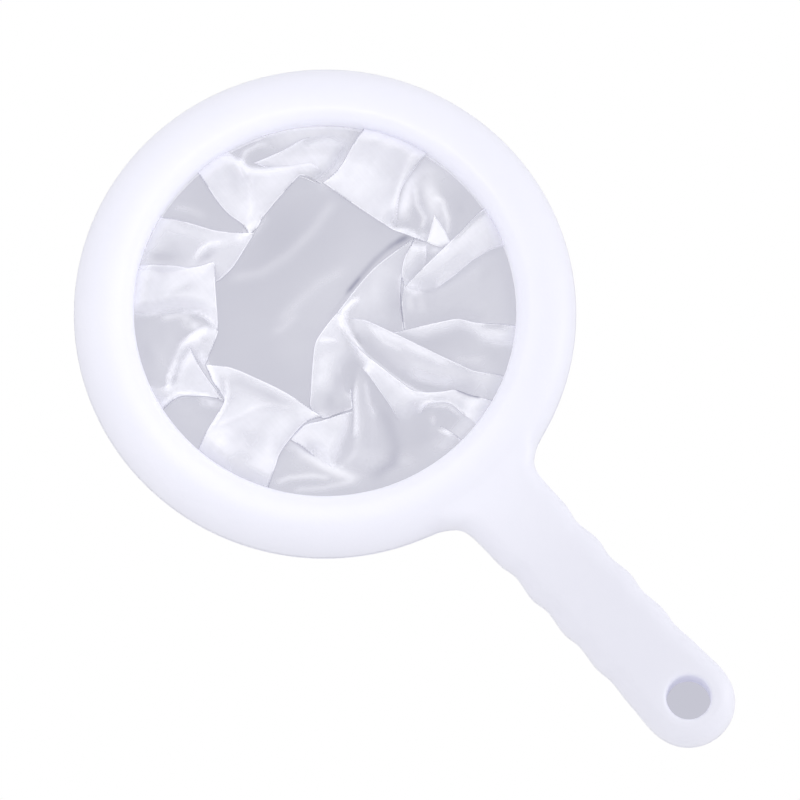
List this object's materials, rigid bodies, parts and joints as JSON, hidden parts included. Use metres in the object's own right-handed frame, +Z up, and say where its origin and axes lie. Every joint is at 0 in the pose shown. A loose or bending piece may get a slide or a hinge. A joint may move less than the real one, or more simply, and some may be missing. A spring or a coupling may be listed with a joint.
{
  "type": "hand strainer",
  "caption": "Round hand strainer: a white plastic ring with a grip handle and a hanging hole, holding a fine nylon net that lies folded in the ring.",
  "frame": {"origin": "centre of the ring, in the plane of its underside, which is the plane the strainer rests on", "axes": "+X from the ring's centre along the handle to the hanging hole, +Z up out of the mouth"},
  "size_m": [0.2859, 0.172, 0.014],
  "materials": {
    "shell": "smooth white polypropylene with a soft sheen",
    "hoop": "plain white plastic",
    "net": "fine translucent white nylon net"
  },
  "bodies": {
    "frame": {"upper_shell": "shell", "lower_shell": "shell", "net_hoop": "hoop", "net_wall": "net"},
    "net_floor": {"net_base": "net"}
  },
  "joints": [
    {"name": "net_drop", "type": "slide", "parent": "frame", "child": "net_floor", "axis": [0, 0, -1], "range_m": [0, 0.05], "deforming": ["net_wall"]}
  ]
}
